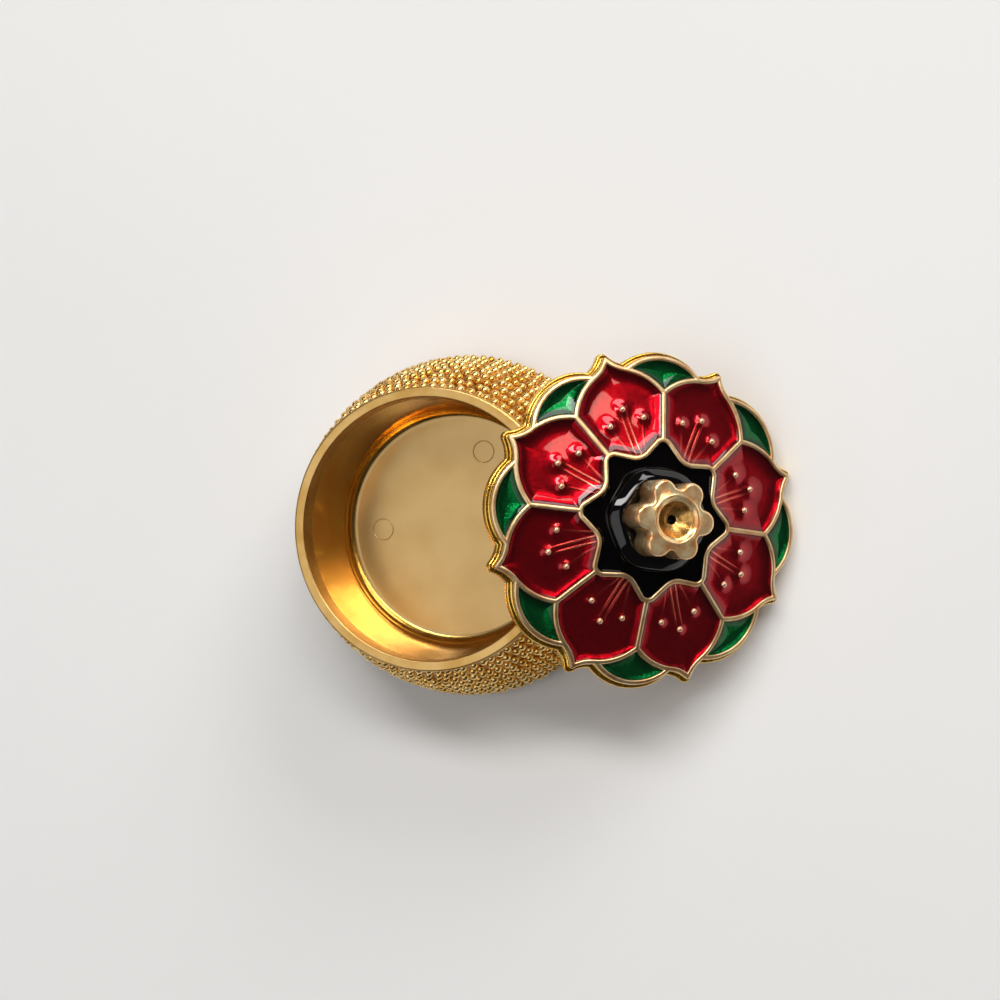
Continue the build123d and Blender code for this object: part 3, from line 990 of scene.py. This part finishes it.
def enamel_fill(name, outline_at, middle, finish, node, angle, has_pins):
    """One cell's enamel, from rings along its outline to a ring about its middle."""
    edge = outline_at(HALF_WALL)
    tree = tree_of(edge)
    bm = bmesh.new()
    rings = [add_ring(bm, on_crown(edge, CELL_DEPTH))]
    close_ring(bm, rings[0])
    inner = [outline_at(HALF_WALL + step) for step in CREEP_STEPS]
    pool_edge = inner[-1]
    for ring in range(1, POOL_RINGS):
        inner.append([point.lerp(middle, ring / POOL_RINGS) for point in pool_edge])
    rings += [add_ring(bm, on_enamel(outline, tree, has_pins)) for outline in inner]
    skin(bm, rings)
    close_ring(bm, rings[-1])
    bmesh.ops.recalc_face_normals(bm, faces=bm.faces)
    keep_measures(bm, tree)
    place = LID_PLACE @ Matrix.Rotation(angle, 4, "Z")
    finish_piece(bm, name, "lid", [finish], place, [node])


for number in range(1, PETALS + 1):
    angle = 2 * HALF_PITCH * (number - 1)
    enamel_fill(f"petal_{number}", petal_outline, PETAL_MIDDLE, RED,
                f"petal_enamel_{number}", angle, True)
    enamel_fill(f"leaf_{number}", leaf_outline, LEAF_MIDDLE, GREEN,
                f"leaf_enamel_{number}", angle + HALF_PITCH, False)

# %% [markdown]
# ## Knob
# The knob is a rosette with six lobes, a cup in its top and a tenon riveted under the lid. Its
# outline is lobes joined by open fillets, so moving it in or out again only changes radii. Above
# the lobes the rings turn round, and go over a lip and down into the cup and its eye.

# %% Rosette outline
LOBES = 6
LOBE_RADIUS = 1.5
LOBE_CIRCLE = 3.5
LOBE_FILLET = 0.65
KNOB_TURN = -HALF_PITCH
LOBE_PITCH = pi / LOBES
FILLET_STEPS = 4


def rosette(outset):
    """The knob's lobed outline, moved out by an outset."""
    lobe_centre = Vector((LOBE_CIRCLE, 0))
    reach = sqrt((LOBE_RADIUS + LOBE_FILLET) ** 2 - (LOBE_CIRCLE * sin(LOBE_PITCH)) ** 2)
    fillet_centre = polar(LOBE_CIRCLE * cos(LOBE_PITCH) + reach, LOBE_PITCH)
    touch = heading(lobe_centre, fillet_centre)
    sector = arc(lobe_centre, LOBE_RADIUS + outset, 0, touch, ARC_STEPS)
    sector += arc(fillet_centre, LOBE_FILLET - outset, touch + pi, LOBE_PITCH + pi,
                  FILLET_STEPS)[1:]
    return all_round(sector, LOBES, KNOB_TURN)


# %% Knob
KNOB_FOOT = 5.1
KNOB_TOP = 10.36
TENON_RADIUS = 1.5
RIVET_RADIUS = 2.3
# Outset of the lobes and depth below the top, over their rounded edge.
LOBE_EDGE = ((0.0, 0.6), (-0.03, 0.42), (-0.1, 0.28), (-0.2, 0.19), (-0.34, 0.14), (-0.5, 0.12))
# Radius and depth below the top: the lip with its ring step, the cup, and the eye.
LIP_RINGS = ((3.05, 0.1), (2.95, 0.04), (2.82, 0.0), (2.68, 0.04), (2.58, 0.18), (2.3, 0.34), (2.2, 0.36))
CUP_RINGS = ((2.1, 0.46), (1.75, 0.86), (1.3, 1.2), (0.85, 1.42), (0.56, 1.5))
EYE_RINGS = ((0.48, 1.6), (0.44, 2.4))
# Radius and height of the tenon and its rivet head.
TENON_RINGS = ((TENON_RADIUS, KNOB_FOOT + DISHED), (TENON_RADIUS, UNDERSIDE_RECESS + DISHED),
               (RIVET_RADIUS, UNDERSIDE_RECESS), (RIVET_RADIUS, 0.35), (2.1, 0.2))
KNOB_FINISHES = [KNOB, BLACK, CUP]


def knob():
    """The rosette with its cup and eye, and the riveted tenon below."""
    bm = bmesh.new()
    plan = rosette(0.0)

    def below_top(rings):
        return [add_ring(bm, round_with(plan, radius, KNOB_TOP - depth)) for radius, depth in rings]

    lobes = [add_ring(bm, at_height(plan, KNOB_FOOT))]
    lobes += [add_ring(bm, at_height(rosette(outset), KNOB_TOP - depth)) for outset, depth in LOBE_EDGE]
    lip = below_top(LIP_RINGS)
    cup = below_top(CUP_RINGS)
    skin(bm, lobes + lip)
    skin(bm, lip[-1:] + cup, material=KNOB_FINISHES.index(CUP))
    # The eye is a hole given the black enamel: painted shade in the hole.
    eye = cup[-1:] + below_top(EYE_RINGS)
    skin(bm, eye, material=KNOB_FINISHES.index(BLACK))
    close_ring(bm, eye[-1], material=KNOB_FINISHES.index(BLACK))
    down = lobes[:1] + [add_ring(bm, round_with(plan, radius, height)) for radius, height in TENON_RINGS]
    skin(bm, down)
    close_ring(bm, down[-1])
    bmesh.ops.recalc_face_normals(bm, faces=bm.faces)
    print("knob open edges:", open_edges(bm))
    finish_piece(bm, "rosette_knob", "lid", KNOB_FINISHES, LID_PLACE, ["knob"])


knob()

# %% [markdown]
# ## Star enamel
# The black enamel fills the star, and a rounded collar of it stands round the knob's foot, with
# a lobe for each of the knob's. Rings go from the star's wall to the collar's foot, then over the
# collar and under the knob.

# %% Collar round the knob
COLLAR_MEAN = 6.3
COLLAR_WAVE = 0.15
COLLAR_TOP = 6.06
# How far in from its foot each ring of the collar lies, and its share of the collar's height.
COLLAR_STEPS = ((0.03, 0.22), (0.08, 0.4), (0.17, 0.52), (0.3, 0.6), (0.85, 0.86), (1.0, 0.92),
                (1.25, 0.98), (1.5, 1.0))


def collar_foot(outline):
    """The collar's outer edge, with a point at the angle of each of an outline's points."""
    points = []
    for point in outline:
        angle = atan2(point.y, point.x)
        points.append(polar(COLLAR_MEAN + COLLAR_WAVE * cos(LOBES * (angle - KNOB_TURN)), angle))
    return points


# %% Star enamel
PLAIN_RINGS = 8
HIDDEN_RADIUS = 3.0
STAR_FINISHES = [BLACK, JET]


def star_enamel():
    """The star's fill with its collar, closed under the knob."""
    bm = bmesh.new()
    edge = star_outline(HALF_WALL)
    tree = tree_of(edge)
    foot = collar_foot(edge)
    creep = [star_outline(HALF_WALL + step) for step in CREEP_STEPS]
    plain_edge = creep[-1]
    for ring in range(1, PLAIN_RINGS + 1):
        creep.append([point.lerp(end, ring / PLAIN_RINGS) for point, end in zip(plain_edge, foot)])
    rings = [add_ring(bm, on_crown(edge, CELL_DEPTH))]
    rings += [add_ring(bm, on_enamel(outline, tree)) for outline in creep]
    flat_rings = len(rings)
    for back, rise in COLLAR_STEPS:
        points = []
        for point in foot:
            inner = point - point.normalized() * back
            base = crown_height(point.length) - WALL_DROP - POOL_DROP
            points.append(Vector((inner.x, inner.y, base + (COLLAR_TOP - base) * rise)))
        rings.append(add_ring(bm, points))
    for drop in (0.0, CELL_DEPTH):
        rings.append(add_ring(bm, round_with(foot, HIDDEN_RADIUS, crown_height(HIDDEN_RADIUS) - drop)))
    skin(bm, rings[:flat_rings])
    skin(bm, rings[flat_rings - 1:] + rings[:1], material=STAR_FINISHES.index(JET))
    bmesh.ops.recalc_face_normals(bm, faces=bm.faces)
    keep_measures(bm, tree)
    print("star open edges:", open_edges(bm))
    finish_piece(bm, "star_fill", "lid", STAR_FINISHES, LID_PLACE, ["star_enamel"])


star_enamel()

# %% [markdown]
# ## Floor, light and surroundings
# The floor is a plain pale sheet. Plated metal shows little but what is round it, so each soft light
# stands where some surface mirrors it. A wide dim one hangs overhead, a little to the left, for the
# rim and the floor of the well. A long bright strip stands high at the back, for the wall of the well.
# A broad one stands lower, behind and to the right, for the glints on the collar, and a small warm
# panel at the right shows in two of the petals. The world is a dim grey. All this is sized in metres.

# %% Floor
FLOOR_SIZE = 3.0
CLOUD_WIDTH = 1 / 12


def add_floor():
    """A plain pale sheet of matt board under the box, hardly mottled, which takes a soft shadow."""
    material, tree, shader = start_material("pale_floor", Roughness=0.75)
    where = add_node(tree, "ShaderNodeTexCoord").outputs["Object"]
    cloud = add_node(tree, "ShaderNodeTexNoise", {"Vector": where, "Scale": 1 / CLOUD_WIDTH, "Detail": 2.0})
    colour = add_node(tree, "ShaderNodeMix", {"Factor": cloud.outputs["Fac"]}, data_type="RGBA")
    colour.inputs[6].default_value = linear("#F4F3F1")
    colour.inputs[7].default_value = linear("#EFEEEB")
    tree.links.new(colour.outputs[2], shader.inputs["Base Color"])
    bm = bmesh.new()
    bmesh.ops.create_grid(bm, x_segments=1, y_segments=1, size=FLOOR_SIZE / 2)
    mesh = bpy.data.meshes.new("floor")
    bm.to_mesh(mesh)
    bm.free()
    mesh.materials.append(material)
    floor = bpy.data.objects.new("floor", mesh)
    bpy.context.scene.collection.objects.link(floor)
    floor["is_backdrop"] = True
    print("floor", FLOOR_SIZE, "m wide")


add_floor()

# %% Lights
LIGHT_DISTANCE = 1.2


def add_softbox(name, direction, width, height, radiance, tint="#FFFFFF"):
    """A soft light in a direction, facing the box, with a given brightness of its face."""
    data = bpy.data.lights.new(name, "AREA")
    data.shape = "RECTANGLE"
    data.size = width
    data.size_y = height
    data.energy = radiance * pi * width * height
    data.color = linear(tint)[:3]
    lamp = bpy.data.objects.new(name, data)
    away = Vector(direction).normalized()
    lamp.location = CAMERA_TARGET * MM + away * LIGHT_DISTANCE
    lamp.rotation_euler = away.to_track_quat("Z", "Y").to_euler()
    bpy.context.scene.collection.objects.link(lamp)
    print(name, "power", round(data.energy, 3), "W")


add_softbox("ceiling", (-0.34, -0.14, 0.93), width=1.0, height=1.3, radiance=1.1)
add_softbox("window", (0.1, 0.56, 0.83), width=1.0, height=0.21, radiance=12.6)
add_softbox("north_strip", (0.5, 0.77, 0.43), width=0.66, height=0.46, radiance=6.2)
add_softbox("panel", (0.634, 0.389, 0.661), width=0.14, height=0.43, radiance=5.5, tint="#FFEAD6")

# %% Surroundings
WORLD_STRENGTH = 0.6


def add_surroundings():
    """A dim grey world, a little lighter at the horizon than overhead."""
    world = bpy.data.worlds.new("surroundings")
    world.use_nodes = True
    tree = world.node_tree
    where = add_node(tree, "ShaderNodeTexCoord").outputs["Generated"]
    up = add_node(tree, "ShaderNodeSeparateXYZ", {"Vector": where}).outputs["Z"]
    share = add_node(tree, "ShaderNodeMapRange", {"Value": up, "From Min": 0.0, "From Max": 0.9})
    colour = add_node(tree, "ShaderNodeMix", {"Factor": share.outputs["Result"]}, data_type="RGBA")
    colour.inputs[6].default_value = linear("#605F63")
    colour.inputs[7].default_value = linear("#505054")
    background = tree.nodes["Background"]
    tree.links.new(colour.outputs[2], background.inputs["Color"])
    background.inputs["Strength"].default_value = WORLD_STRENGTH
    bpy.context.scene.world = world
    bpy.context.scene.view_settings.view_transform = "Standard"
    print("surroundings made, strength", WORLD_STRENGTH)


add_surroundings()

# %% [markdown]
# ## Size
# The dressed part has to fill the same box as the frame.

# %% Compare sizes and finish
boxes = {"cad": CAD_BOX, "visual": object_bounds()}
for name, (low, high) in boxes.items():
    print(name, [round(value / MM, 2) for value in (*low, *high)])
